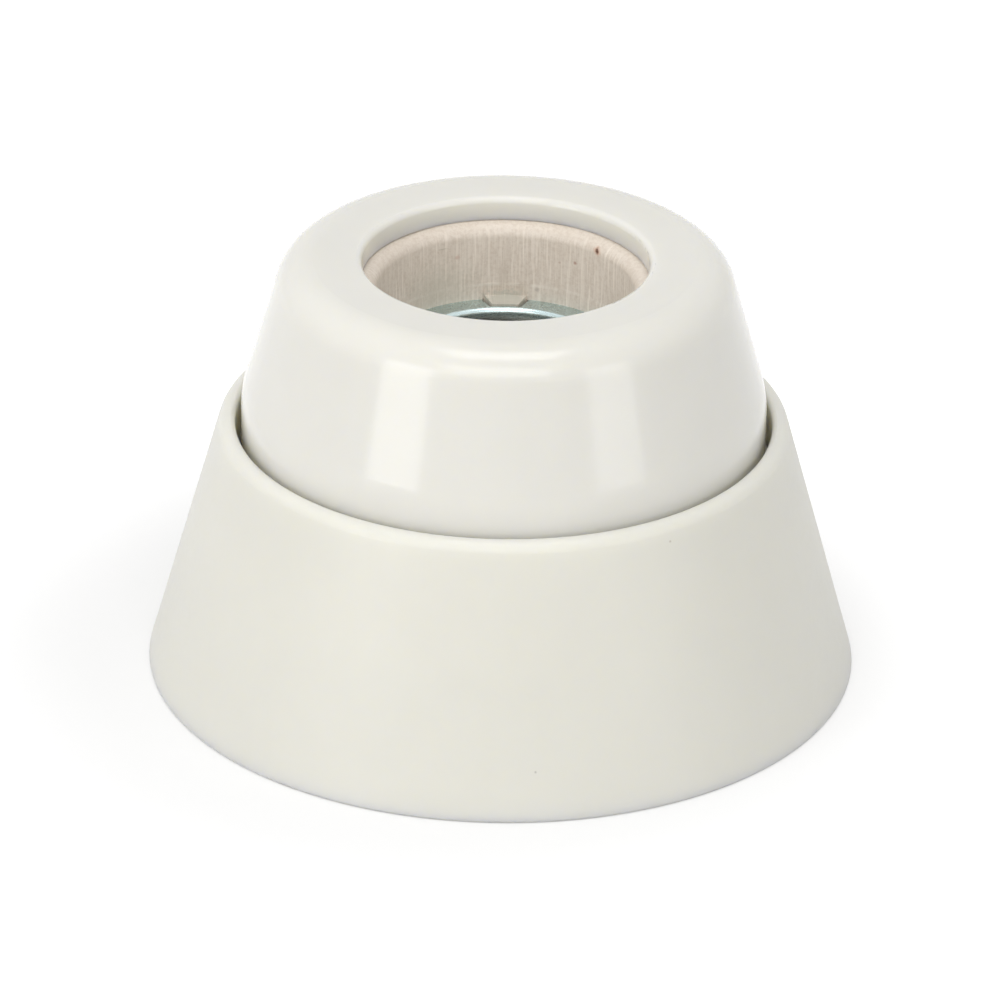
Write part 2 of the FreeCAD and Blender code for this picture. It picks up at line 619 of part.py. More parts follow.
def make_terminal(label, side):
    """Brass block on its strap, with a wire hole and a hole for the screw."""
    body = new_body(label)
    sign = "" if side > 0 else "-1 * "
    foot = new_sketch(body, label + "_outline", "XY_Plane", "strap_z")
    draw_rectangle(foot, "-block_w / 2", "block_w / 2",
                   sign + "block_in_y", sign + "block_out_y")
    extrude(body, label + "_block", foot, "block_h")
    wire = new_sketch(body, label + "_wire_outline", "XZ_Plane")
    draw_circle(wire, "0", "wire_z", "wire_r")
    extrude(body, label + "_wire_hole", wire, "2 * deck_r", "Pocket", both=True)
    top = new_sketch(body, label + "_screw_outline", "XY_Plane", "block_z")
    draw_circle(top, "0", sign + "block_y", "hole_r")
    extrude(body, label + "_screw_hole", top, "block_z - wire_z", "Pocket")
    return body


def draw_screw(body, name, x, y, tip_z, seat, shank, head, high, slit, slit_deep):
    """Cheese-head screw along Z at x, y, its head's underside at height seat."""
    low = new_sketch(body, name + "_shank_outline", "XY_Plane", tip_z)
    draw_circle(low, x, y, shank)
    stem = extrude(body, name + "_shank", low, "( %s ) - ( %s )" % (seat, tip_z))
    top = new_sketch(body, name + "_head_outline", "XY_Plane", seat)
    draw_circle(top, x, y, head)
    cheese = extrude(body, name + "_head", top, high)
    cut = new_sketch(body, name + "_slit_outline", "XY_Plane", "%s + %s" % (seat, high))
    draw_rectangle(cut, "%s - %s - bite" % (x, head), "%s + %s + bite" % (x, head),
                   "%s - %s / 2" % (y, slit), "%s + %s / 2" % (y, slit))
    slot = extrude(body, name + "_slit", cut, slit_deep, "Pocket")
    return [stem, cheese, slot]


def make_small_screw(label, y, seat, tip_z):
    """One M3 screw of the insert."""
    body = new_body(label)
    draw_screw(body, label, "0", y, tip_z, seat,
               "screw_r", "head_r", "head_h", "slit_w", "slit_d")
    return body


def make_pair(label, features_of):
    """A piece that comes twice, half a turn apart about Z."""
    body = new_body(label)
    body.AllowCompound = True
    repeat(body, label + "_pair", features_of(body))
    return body


def terminal_screw(body):
    """Clamping screw of a terminal."""
    return draw_screw(body, "terminal", "0", "block_y", "wire_z + wire_gap",
                      "block_z + terminal_lift",
                      "screw_r", "head_r", "head_h", "slit_w", "slit_d")


def insert_screw(body):
    """Screw that holds the insulator on its boss."""
    return draw_screw(body, "insert", "insert_x", "insert_x",
                      "deck_z + washer_t - insert_l", "deck_z + washer_t",
                      "insert_r", "insert_head_r", "insert_head_h",
                      "insert_slit_w", "insert_slit_d")


def insert_washer(body):
    """Washer between insert screw and porcelain."""
    outline = new_sketch(body, "washer_outline", "XY_Plane", "deck_z")
    draw_circle(outline, "insert_x", "insert_x", "washer_r")
    draw_circle(outline, "insert_x", "insert_x", "insert_hole_r")
    return [extrude(body, "washer", outline, "washer_t")]


def base_bush(body):
    """Threaded brass bush in a boss."""
    outline = new_sketch(body, "bush_outline", "XY_Plane", "seat_z - bush_l")
    draw_circle(outline, "insert_x", "insert_x", "bush_r")
    draw_circle(outline, "insert_x", "insert_x", "bush_hole_r")
    return [extrude(body, "bush", outline, "bush_l")]


# --------------------------------------------------------------------- the assembly

pieces = [
    make_base_housing(),
    make_cap(),
    make_guard_ring(),
    make_insulator(),
    make_screw_shell(),
    make_centre_contact(),
    make_strap("side_strap", "shell_screw_y", -1),
    make_strap("centre_strap", "contact_screw_y", 1),
    make_terminal("side_terminal", -1),
    make_terminal("centre_terminal", 1),
    make_small_screw("shell_screw", "-shell_screw_y", "shell_z + sheet_t",
                     "strap_low_z - tip_out"),
    make_small_screw("contact_screw", "contact_screw_y", "pan_z + leaf_t",
                     "strap_low_z - tip_out"),
    make_pair("terminal_screws", terminal_screw),
    make_pair("insert_screws", insert_screw),
    make_pair("insert_washers", insert_washer),
    make_pair("base_bushes", base_bush),
]
doc.recompute()

for item in doc.Objects:
    if {"Invalid", "Error"} & set(item.State):
        raise RuntimeError("%s did not build: %s" % (item.Label, item.State))

os.makedirs("parts", exist_ok=True)
for body in pieces:
    shape = body.Shape
    if shape.isNull() or not shape.isValid():
        raise RuntimeError("%s has no sound shape" % body.Label)
    shape.exportStep("parts/%s.step" % body.Label)
    print("%-16s %d solid(s) %9.1f mm3" % (body.Label, len(shape.Solids), shape.Volume))
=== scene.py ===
# %% [markdown]
# # A batten lamp holder, finished in Blender
# The real thing is a cone of moulded thermoset with a cap screwed into it, a porcelain
# ring and a zinc-plated screw shell for an E27 lamp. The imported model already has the
# right shapes and sizes, so this lesson only adds what the solids leave out: rolled
# threads, softened edges, and the finish of each material. Lengths are in metres, as
# Blender has them, and MM turns millimetres into metres.

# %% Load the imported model
import json
import math
import bpy
from mathutils import Matrix, Vector, noise

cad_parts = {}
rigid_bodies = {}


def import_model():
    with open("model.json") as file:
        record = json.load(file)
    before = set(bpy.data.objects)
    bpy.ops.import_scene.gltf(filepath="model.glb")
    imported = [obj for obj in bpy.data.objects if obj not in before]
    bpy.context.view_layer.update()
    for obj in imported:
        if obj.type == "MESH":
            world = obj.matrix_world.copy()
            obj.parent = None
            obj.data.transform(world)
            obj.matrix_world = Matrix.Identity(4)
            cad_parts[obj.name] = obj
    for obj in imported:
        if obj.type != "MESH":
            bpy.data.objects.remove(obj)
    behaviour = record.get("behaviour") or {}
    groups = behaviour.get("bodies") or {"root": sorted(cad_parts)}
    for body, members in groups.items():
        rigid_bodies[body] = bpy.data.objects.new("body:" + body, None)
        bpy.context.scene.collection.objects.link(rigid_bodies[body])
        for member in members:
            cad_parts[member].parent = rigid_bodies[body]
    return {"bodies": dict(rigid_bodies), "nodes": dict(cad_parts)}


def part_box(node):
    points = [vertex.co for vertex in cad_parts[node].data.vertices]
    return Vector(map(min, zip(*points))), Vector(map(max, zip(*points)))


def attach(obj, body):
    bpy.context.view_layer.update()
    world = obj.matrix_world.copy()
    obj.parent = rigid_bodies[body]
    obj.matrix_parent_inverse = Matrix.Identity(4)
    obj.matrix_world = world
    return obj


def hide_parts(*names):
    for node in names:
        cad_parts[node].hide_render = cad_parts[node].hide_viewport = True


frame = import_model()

MM = 0.001
nodes = frame["nodes"]


ours = set(nodes.values()) | set(frame["bodies"].values())
for stray in [o for o in bpy.data.objects if o not in ours and o.type in
              ("MESH", "LIGHT", "CAMERA") and not o.parent]:
    bpy.data.objects.remove(stray)
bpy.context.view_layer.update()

# %% [markdown]
# ## Camera
# The holder stands on a table and is seen from about 27 degrees above. A short lens
# near by would swell its front, and an orthographic camera would flatten it, so this is
# a long lens from almost a metre away. The camera is placed by its distance and height
# from the point it looks at, and rolled by less than a degree, as a camera that was
# levelled by hand is.

# %% Camera
LOOK_AT = Vector((-0.34, 0, 22.1)) * MM
DISTANCE = 877.6 * MM
ELEVATION = math.radians(26.79)
ROLL = math.radians(0.78)
LENS = 244.1
FRAME_WIDTH = 36


def place_camera():
    """A long lens on the -Y side that looks slightly down at the holder."""
    lens = bpy.data.cameras.new("camera")
    lens.sensor_width = FRAME_WIDTH
    lens.lens = LENS
    lens.clip_start, lens.clip_end = 0.05, 50
    camera = bpy.data.objects.new("camera", lens)
    bpy.context.scene.collection.objects.link(camera)
    back = Vector((0, -math.cos(ELEVATION), math.sin(ELEVATION)))
    tilt = Matrix.Rotation(math.pi / 2 - ELEVATION, 4, "X")
    camera.matrix_world = (Matrix.Translation(LOOK_AT + back * DISTANCE) @ tilt
                           @ Matrix.Rotation(ROLL, 4, "Z"))
    bpy.context.scene.camera = camera
    return camera


camera = place_camera()
bpy.context.scene.view_settings.view_transform = "Standard"
print("camera", tuple(round(v, 4) for v in camera.location), "lens", camera.data.lens)

# %% [markdown]
# ## Lamps
# A gloss object shows its lamps as shapes, so the lamps are rectangles, as in a studio,
# rather than points or a sun. Two soft boxes stand at the front left and front right,
# low enough to show in the cap's cone from its skirt to its shoulder. A wide one above
# the camera lights the far wall of the mouth, and one overhead whitens the bend of the
# steel shell. The room does the rest. Together they stay near the level at which a
# colour renders about as it is written.

# %% Lamps
AIM = Vector((0, 0, 0.03))


def soft_box(name, azimuth, elevation, distance, size, glow):
    """A rectangular lamp that faces the holder; azimuth is from -Y towards +X."""
    lamp = bpy.data.lights.new(name, "AREA")
    lamp.shape = "RECTANGLE"
    lamp.size, lamp.size_y = size
    lamp.energy = glow * math.pi * size[0] * size[1]
    box = bpy.data.objects.new(name, lamp)
    bpy.context.scene.collection.objects.link(box)
    a, e = math.radians(azimuth), math.radians(elevation)
    away = Vector((math.sin(a) * math.cos(e), -math.cos(a) * math.cos(e), math.sin(e)))
    box.location = AIM + away * distance
    box.rotation_euler = (-away).to_track_quat("-Z", "Y").to_euler()
    return box


LAMPS = [
    # name, azimuth and elevation in degrees, distance, (width, height) in metres, glow
    ("left_box", -46.5, 14, 0.62, (0.265, 0.31), 2.70),
    ("right_box", 50, 14, 0.62, (0.245, 0.315), 1.77),
    ("front_box", -4, 36, 0.80, (0.66, 0.34), 1.80),
    ("top_box", 0, 84, 0.80, (0.44, 0.34), 2.40),
]
for entry in LAMPS:
    soft_box(*entry)
print("lamps:", [entry[0] for entry in LAMPS])

# %% [markdown]
# ## Node helpers
# The room, the table and every finish are chains of shader nodes. They could be placed
# and joined one by one. A helper that places a node, sets or joins what goes in and
# gives back what comes out is chosen instead, because a chain then reads like a sum.

# %% Node helpers
def math_node(tree, operation, *entries):
    """A Math node; each entry is a number or an output socket."""
    node = tree.nodes.new("ShaderNodeMath")
    node.operation = operation
    for slot, entry in enumerate(entries):
        if isinstance(entry, (int, float)):
            node.inputs[slot].default_value = entry
        else:
            tree.links.new(entry, node.inputs[slot])
    return node.outputs[0]


def smooth_range(tree, entry, low, high, to_low=0.0, to_high=1.0):
    """A smooth Map Range from low..high to to_low..to_high."""
    node = tree.nodes.new("ShaderNodeMapRange")
    node.interpolation_type = "SMOOTHSTEP"
    tree.links.new(entry, node.inputs["Value"])
    for label, amount in (("From Min", low), ("From Max", high),
                          ("To Min", to_low), ("To Max", to_high)):
        if hasattr(amount, "links"):
            tree.links.new(amount, node.inputs[label])
        else:
            node.inputs[label].default_value = amount
    return node.outputs[0]


print("node helpers ready")

# %% [markdown]
# ## Room light
# Between its lamps a gloss surface shows the room, and the room's light fills the
# shadows. More lamps could do that, but each would show its edges, so it is a World
# that shines from all sides, a little brighter on the left and in front. The camera,
# and whatever mirrors the room, sees plain white instead of that level.

# %% Room light
ROOM_LEVEL = 0.48
ROOM_LEFT = 0.34
ROOM_FRONT = 0.05


def white_for_eye_and_gloss(tree):
    """A 0-1 value that is 1 for what the camera, a reflection or glass sees directly."""
    path = tree.nodes.new("ShaderNodeLightPath")
    eye_or_gloss = math_node(tree, "MAXIMUM", path.outputs["Is Camera Ray"],
                             path.outputs["Is Glossy Ray"])
    return math_node(tree, "MAXIMUM", eye_or_gloss, path.outputs["Is Transmission Ray"])


def room_strength(tree):
    """The room's level by direction; it rises towards the left and the front."""
    where = tree.nodes.new("ShaderNodeTexCoord")
    split = tree.nodes.new("ShaderNodeSeparateXYZ")
    tree.links.new(where.outputs["Generated"], split.inputs[0])
    level = ROOM_LEVEL + (ROOM_LEFT + ROOM_FRONT) / 2
    level = math_node(tree, "MULTIPLY_ADD", split.outputs[0], -ROOM_LEFT / 2, level)
    return math_node(tree, "MULTIPLY_ADD", split.outputs[1], -ROOM_FRONT / 2, level)


room = bpy.data.worlds.new("room")
bpy.context.scene.world = room
room.use_nodes = True
room.node_tree.nodes.clear()
seen = room.node_tree.nodes.new("ShaderNodeBackground")
seen.inputs["Strength"].default_value = 1.0
lit = room.node_tree.nodes.new("ShaderNodeBackground")
room.node_tree.links.new(room_strength(room.node_tree), lit.inputs["Strength"])
for sky in (seen, lit):
    sky.inputs["Color"].default_value = (1, 1, 1, 1)
choice = room.node_tree.nodes.new("ShaderNodeMixShader")
room_out = room.node_tree.nodes.new("ShaderNodeOutputWorld")
room.node_tree.links.new(white_for_eye_and_gloss(room.node_tree), choice.inputs[0])
room.node_tree.links.new(lit.outputs[0], choice.inputs[1])
room.node_tree.links.new(seen.outputs[0], choice.inputs[2])
room.node_tree.links.new(choice.outputs[0], room_out.inputs["Surface"])
print("room light from", ROOM_LEVEL, "up to", round(ROOM_LEVEL + ROOM_LEFT + ROOM_FRONT, 2))

# %% [markdown]
# ## Table
# The holder stands on a white sheet that runs on without an edge. Lamps alone could make
# it white only at a level that burns out the holder too. So what the camera sees of it
# is the lit surface with some plain white added, more of it away from the holder, and
# the sheet is white all over but keeps the soft shadow round the base. Other surfaces
# see it as plain lit paper.

# %% Table
TABLE_SIZE = 8
TABLE_GAP = 0.00003
PAPER = 0.55
SHADE = 0.60
NEAR_LEVEL = 0.34
FAR_LEVEL = 0.70
NEAR_PLACE = (-0.010, -0.006, 0)
NEAR_REACH = 0.040
FAR_REACH = 0.10


def lay_table():
    """A wide white plane just under the base."""
    bpy.ops.mesh.primitive_plane_add(size=TABLE_SIZE, location=(0, 0, -TABLE_GAP))
    table = bpy.context.object
    table.name = "table"
    bpy.ops.object.transform_apply(location=True, rotation=True, scale=True)
    return table


def table_finish():
    """Lit paper for other surfaces, whitened paper for the camera and reflections."""
    paint = bpy.data.materials.new("table_white")
    paint.use_nodes = True
    tree = paint.node_tree
    tree.nodes.clear()
    paper = tree.nodes.new("ShaderNodeBsdfDiffuse")
    paper.inputs["Color"].default_value = (PAPER, PAPER, PAPER, 1)
    shade = tree.nodes.new("ShaderNodeBsdfDiffuse")
    shade.inputs["Color"].default_value = (SHADE, SHADE, SHADE, 1)
    plain = tree.nodes.new("ShaderNodeEmission")
    place = tree.nodes.new("ShaderNodeTexCoord")
    far = tree.nodes.new("ShaderNodeVectorMath")
    far.operation = "DISTANCE"
    far.inputs[1].default_value = NEAR_PLACE
    tree.links.new(place.outputs["Object"], far.inputs[0])
    rise = smooth_range(tree, far.outputs["Value"], NEAR_REACH, FAR_REACH,
                        NEAR_LEVEL, FAR_LEVEL)
    tree.links.new(rise, plain.inputs["Strength"])
    both = tree.nodes.new("ShaderNodeAddShader")
    choice = tree.nodes.new("ShaderNodeMixShader")
    out = tree.nodes.new("ShaderNodeOutputMaterial")
    tree.links.new(shade.outputs[0], both.inputs[0])
    tree.links.new(plain.outputs[0], both.inputs[1])
    tree.links.new(white_for_eye_and_gloss(tree), choice.inputs[0])
    tree.links.new(paper.outputs[0], choice.inputs[1])
    tree.links.new(both.outputs[0], choice.inputs[2])
    tree.links.new(choice.outputs[0], out.inputs["Surface"])
    return paint


table = lay_table()
table.data.materials.append(table_finish())
print("table laid, half width", table.dimensions.x / 2, "m")

# %% [markdown]
# ## Effects that several finishes share
# Three effects come back in more than one material: a slow drift of the colour, small
# dark specks, and a single soft spot at a chosen place, which gives stains and also
# painted shade. They could be built anew in each material. Each is a node group with
# named inputs instead, so the materials differ only in the values they put in, and a
# change to the effect reaches them all.

# %% Group and pattern helpers
def new_group(name, inputs, outputs):
    """A shader node group with float, colour or vector sockets."""
    group = bpy.data.node_groups.new(name, "ShaderNodeTree")
    for side, sockets in (("INPUT", inputs), ("OUTPUT", outputs)):
        for label, kind, default in sockets:
            socket = group.interface.new_socket(
                name=label, in_out=side, socket_type="NodeSocket" + kind)
            if default is not None:
                socket.default_value = default
    start = group.nodes.new("NodeGroupInput")
    end = group.nodes.new("NodeGroupOutput")
    return group, start, end


def place_on(tree, stretch=(1, 1, 1)):
    """Object coordinates, stretched along the axes."""
    where = tree.nodes.new("ShaderNodeTexCoord")
    scale = tree.nodes.new("ShaderNodeVectorMath")
    scale.operation = "MULTIPLY"
    scale.inputs[1].default_value = stretch
    tree.links.new(where.outputs["Object"], scale.inputs[0])
    return scale.outputs[0]


def grain(tree, size, stretch=(1, 1, 1), detail=2.0, rough=0.5, at=None):
    """Noise whose features are about size metres across before stretching."""
    node = tree.nodes.new("ShaderNodeTexNoise")
    tree.links.new(at or place_on(tree, stretch), node.inputs["Vector"])
    node.inputs["Scale"].default_value = 1 / size
    node.inputs["Detail"].default_value = detail
    node.inputs["Roughness"].default_value = rough
    return node.outputs["Fac"]


print("group and pattern helpers ready")

# %% Colour drift group
WIDE_CLOUD, WIDE_SHARE = 0.022, 0.7
NEAR_CLOUD, NEAR_SHARE = 0.005, 0.3


def build_drift():
    """Slow lighter and darker clouds over a colour."""
    group, start, end = new_group(
        "colour drift",
        [("Colour", "Color", (0.8, 0.8, 0.8, 1)), ("Amount", "Float", 0.03)],
        [("Colour", "Color", None), ("Cloud", "Float", None)])
    wide = grain(group, WIDE_CLOUD, detail=3.0)
    near = grain(group, NEAR_CLOUD, detail=2.0)
    cloud = math_node(group, "ADD", math_node(group, "MULTIPLY", wide, WIDE_SHARE),
                      math_node(group, "MULTIPLY", near, NEAR_SHARE))
    centred = math_node(group, "SUBTRACT", cloud, 0.5)
    gain = math_node(group, "ADD", 1.0, math_node(
        group, "MULTIPLY", centred, math_node(
            group, "MULTIPLY", start.outputs["Amount"], 2.0)))
    scale = group.nodes.new("ShaderNodeVectorMath")
    scale.operation = "SCALE"
    group.links.new(start.outputs["Colour"], scale.inputs[0])
    group.links.new(gain, scale.inputs["Scale"])
    group.links.new(scale.outputs[0], end.inputs["Colour"])
    group.links.new(cloud, end.inputs["Cloud"])
    return group


colour_drift = build_drift()
print("group:", colour_drift.name)

# %% Speck group
def build_specks():
    """Rare tiny specks, as of a foreign grain in the moulding or the glaze."""
    group, start, end = new_group(
        "specks",
        [("Spacing", "Float", 0.006), ("Size", "Float", 0.03),
         ("Share", "Float", 0.2)],
        [("Mask", "Float", None)])
    cells = group.nodes.new("ShaderNodeTexVoronoi")
    group.links.new(place_on(group), cells.inputs["Vector"])
    group.links.new(math_node(group, "DIVIDE", 1.0, start.outputs["Spacing"]),
                    cells.inputs["Scale"])
    near = smooth_range(group, cells.outputs["Distance"],
                        start.outputs["Size"], 0.0)
    split = group.nodes.new("ShaderNodeSeparateColor")
    group.links.new(cells.outputs["Color"], split.inputs[0])
    chosen = math_node(group, "LESS_THAN", split.outputs[0], start.outputs["Share"])
    group.links.new(math_node(group, "MULTIPLY", near, chosen), end.inputs["Mask"])
    return group


specks = build_specks()
print("group:", specks.name)

# %% Soft spot group, for stains and painted shade
RAGGED_GRAIN, RAGGED = 0.0004, 0.9


def build_soft_spot():
    """One ragged soft spot about a place; Core is the share of it that is full."""
    group, start, end = new_group(
        "soft_spot",
        [("Place", "Vector", (0, 0, 0)), ("Half size", "Vector", (1, 1, 1)),
         ("Core", "Float", 0.6)],
        [("Mask", "Float", None)])
    away = group.nodes.new("ShaderNodeVectorMath")
    away.operation = "SUBTRACT"
    group.links.new(place_on(group), away.inputs[0])
    group.links.new(start.outputs["Place"], away.inputs[1])
    scaled = group.nodes.new("ShaderNodeVectorMath")
    scaled.operation = "DIVIDE"
    group.links.new(away.outputs[0], scaled.inputs[0])
    group.links.new(start.outputs["Half size"], scaled.inputs[1])
    length = group.nodes.new("ShaderNodeVectorMath")
    length.operation = "LENGTH"
    group.links.new(scaled.outputs[0], length.inputs[0])
    swing = math_node(group, "SUBTRACT", grain(group, RAGGED_GRAIN), 0.5)
    ragged = math_node(group, "ADD", length.outputs["Value"],
                       math_node(group, "MULTIPLY", swing, RAGGED))
    group.links.new(smooth_range(group, ragged, 1.0, start.outputs["Core"]),
                    end.inputs["Mask"])
    return group


soft_spot = build_soft_spot()
print("group:", soft_spot.name)

# %% [markdown]
# ## Moulded thermoset
# Base and cap are urea mouldings, an ivory white with a hint of green. The cap comes
# from a polished mould and mirrors the lamps, the base from a duller one. Both have
# faint clouds in the colour, a few dark grains, and a very slight waviness. The last
# could be modelled, but is far too shallow, so it is a Bump from wide noise, which the
# eye reads in the edges of a reflection. Light enters such a moulding a few millimetres
# deep, which Subsurface gives. The thin ridges of the threads go without it, because it
# would cool their colour. Two small spots on the base are stains with a place of their
# own, given by angle and height.

# %% Finish helpers
RING_BORE_R = 16.5


def mix_colour(tree, amount, first, second, blend="MIX"):
    """A colour Mix node; each entry is a value, a colour tuple or an output socket."""
    node = tree.nodes.new("ShaderNodeMix")
    node.data_type = "RGBA"
    node.blend_type = blend
    for slot, entry in ((0, amount), (6, first), (7, second)):
        if hasattr(entry, "links"):
            tree.links.new(entry, node.inputs[slot])
        else:
            node.inputs[slot].default_value = entry
    return node.outputs[2]


def on_wall(angle, height, radius=RING_BORE_R):
    """A place on a round wall, in metres; the angle is from +Y towards +X."""
    a = math.radians(angle)
    return (radius * MM * math.sin(a), radius * MM * math.cos(a), height * MM)


def use_group(tree, group, **values):
    """Place a node group in a material and set its inputs."""
    node = tree.nodes.new("ShaderNodeGroup")
    node.node_tree = group
    for label, amount in values.items():
        node.inputs[label.replace("_", " ")].default_value = amount
    return node


def start_finish(name):
    """A new material with a Principled BSDF."""
    paint = bpy.data.materials.new(name)
    paint.use_nodes = True
    tree = paint.node_tree
    shader = next(n for n in tree.nodes if n.type == "BSDF_PRINCIPLED")
    return paint, tree, shader


def bump_from(tree, shader, height, strength, depth):
    """Feed a height into the shader's normal."""
    node = tree.nodes.new("ShaderNodeBump")
    node.inputs["Strength"].default_value = strength
    node.inputs["Distance"].default_value = depth
    tree.links.new(height, node.inputs["Height"])
    tree.links.new(node.outputs[0], shader.inputs["Normal"])


def add_spots(tree, tone, spots):
    """Lay small soft-edged spots over a colour, each at its own place."""
    for place, half, core, force, shade in spots:
        spot = use_group(tree, soft_spot, Place=place, Half_size=[h * MM for h in half],
                         Core=core)
        tone = mix_colour(tree, math_node(tree, "MULTIPLY", spot.outputs[0], force),
                          tone, shade)
    return tone


print("finish helpers ready")

# %% Moulding finish
DARK_GRAIN = (0.30, 0.26, 0.18, 1)
SKIN_GRAIN, SKIN_SHARE = 0.0011, 0.02
HEAVE_WIDTH, HEAVE_DEPTH = 0.009, 0.0004
GLOW_RADIUS, GLOW_SCALE = (1.0, 0.95, 0.72), 0.0036


def moulding_finish(name, colour, roughness, spread, wave, spots=(), depth=0.85):
    """Thermoset with clouds, grains and a slightly wavy skin; depth is its subsurface."""
    paint, tree, shader = start_finish(name)
    drift = use_group(tree, colour_drift, Colour=(*colour, 1), Amount=0.035)
    dots = use_group(tree, specks, Spacing=0.013, Size=0.014, Share=0.22)
    tone = mix_colour(tree, dots.outputs[0], drift.outputs["Colour"], DARK_GRAIN)
    tree.links.new(add_spots(tree, tone, spots), shader.inputs["Base Color"])
    fine = grain(tree, SKIN_GRAIN, detail=3.0)
    tree.links.new(smooth_range(tree, fine, 0.3, 0.7, roughness - spread,
                                roughness + spread), shader.inputs["Roughness"])
    shader.inputs["IOR"].default_value = 1.52
    shader.inputs["Subsurface Weight"].default_value = depth
    shader.inputs["Subsurface Radius"].default_value = GLOW_RADIUS
    shader.inputs["Subsurface Scale"].default_value = GLOW_SCALE
    heave = math_node(tree, "ADD", grain(tree, HEAVE_WIDTH, detail=0.5),
                      math_node(tree, "MULTIPLY", fine, SKIN_SHARE))
    bump_from(tree, shader, heave, wave, HEAVE_DEPTH)
    return paint


BASE_SPOTS = [
    # place, half sizes in mm, core, strength, colour
    (on_wall(174.1, 6.34, 44.2), (0.22, 0.5, 0.22), 0.2, 0.50, (0.30, 0.28, 0.24, 1)),
    (on_wall(145.5, 32.05, 37.0), (0.24, 0.5, 0.20), 0.2, 0.45, (0.34, 0.26, 0.18, 1)),
]
base_paint = moulding_finish("base_moulding", (0.755, 0.743, 0.675), 0.42, 0.04, 0.10,
                             BASE_SPOTS)
cap_paint = moulding_finish("cap_moulding", (0.765, 0.752, 0.700), 0.14, 0.02, 0.06)
thread_paint = moulding_finish("thread_moulding", (0.720, 0.708, 0.640), 0.30, 0.04,
                               0.05, depth=0.0)
print("finishes:", base_paint.name, cap_paint.name, thread_paint.name)

# %% [markdown]
# ## Porcelain
# The ring was pressed and drawn from its die, which left fine upright marks in the
# glazed wall. They are too fine to model. Noise that is squeezed round the ring and
# stretched along its height gives them, and because it is read from the place in the
# ring, it stays on the wall as the ring moves. One iron spot with a rusty halo and a few
# small stains were fired in. A broad patch on the left of the wall and the lugs' upper
# faces are darkened with painted shade, and a paler broken line along the band's edge is
# a painted highlight. The spots and patches are placed by their angle and height. The
# insert is the same porcelain with hardly a mark.

# %% Patterns round the ring
def round_the_axis(tree, radius, squeeze):
    """Coordinates that change round the axis and hardly along it or away from it."""
    where = tree.nodes.new("ShaderNodeTexCoord")
    flat = tree.nodes.new("ShaderNodeVectorMath")
    flat.operation = "MULTIPLY"
    flat.inputs[1].default_value = (1, 1, 0)
    tree.links.new(where.outputs["Object"], flat.inputs[0])
    unit = tree.nodes.new("ShaderNodeVectorMath")
    unit.operation = "NORMALIZE"
    tree.links.new(flat.outputs[0], unit.inputs[0])
    ring = tree.nodes.new("ShaderNodeVectorMath")
    ring.operation = "SCALE"
    ring.inputs["Scale"].default_value = radius
    tree.links.new(unit.outputs[0], ring.inputs[0])
    along = tree.nodes.new("ShaderNodeVectorMath")
    along.operation = "MULTIPLY_ADD"
    along.inputs[1].default_value = (0, 0, squeeze)
    tree.links.new(where.outputs["Object"], along.inputs[0])
    tree.links.new(ring.outputs[0], along.inputs[2])
    return along.outputs[0]


def height_of(tree):
    """The height on the piece, in metres."""
    split = tree.nodes.new("ShaderNodeSeparateXYZ")
    tree.links.new(place_on(tree), split.inputs[0])
    return split.outputs[2]


print("ring patterns ready")

# %% Porcelain finish
MARKS_TOP = (55.0, 53.0)
# The ledge line, its share and its pale colour are a painted highlight along the band's
# upper edge.
LEDGE_LINE = (45.00, 45.18, 45.32, 45.55)
LEDGE_HIGHLIGHT_SHARE = 0.7
MOTTLE = (0.84, 0.80, 0.76)
PALE_MARK = (0.98, 0.90, 0.80, 1)
LEDGE_HIGHLIGHT = (0.95, 0.90, 0.82, 1)
GLAZE_SPECK = (0.38, 0.26, 0.20, 1)
STAINS_AND_SHADE = [
    # place, half sizes in mm, core, strength, colour
    (on_wall(44.9, 52.40), (0.80, 0.80, 0.90), 0.10, 0.60, (0.58, 0.25, 0.10, 1)),
    (on_wall(44.9, 52.42), (0.40, 0.40, 0.58), 0.35, 0.97, (0.10, 0.035, 0.018, 1)),
    (on_wall(33.0, 49.57), (0.42, 0.42, 0.36), 0.20, 0.60, (0.36, 0.15, 0.10, 1)),
    (on_wall(24.9, 49.15), (0.30, 0.30, 0.26), 0.20, 0.40, (0.42, 0.24, 0.16, 1)),
    (on_wall(14.6, 44.79), (0.46, 0.46, 0.44), 0.30, 0.45, (0.30, 0.24, 0.21, 1)),
    (on_wall(5.5, 43.20), (0.60, 0.60, 0.60), 0.25, 0.40, (0.40, 0.22, 0.15, 1)),
    (on_wall(-22.4, 49.54), (0.50, 0.50, 0.40), 0.20, 0.35, (0.60, 0.33, 0.25, 1)),
    (on_wall(-29.7, 51.08), (1.10, 0.80, 0.10), 0.30, 0.40, (0.42, 0.38, 0.28, 1)),
    # Painted shade: a broad darker patch over the left of the wall, where the lamps light it
    # most.
    (on_wall(-33, 45.5), (9.0, 7.5, 5.5), 0.00, 0.55, (0.56, 0.53, 0.44, 1)),
    # Painted shade: the lugs' upper faces, which face the light from above, are darkened.
    (on_wall(0, 43.60, 15.2), (3.80, 2.10, 1.50), 0.50, 0.75, (0.53, 0.53, 0.46, 1)),
    (on_wall(180, 43.60, 15.2), (3.80, 2.10, 1.50), 0.50, 0.75, (0.53, 0.53, 0.46, 1)),
]


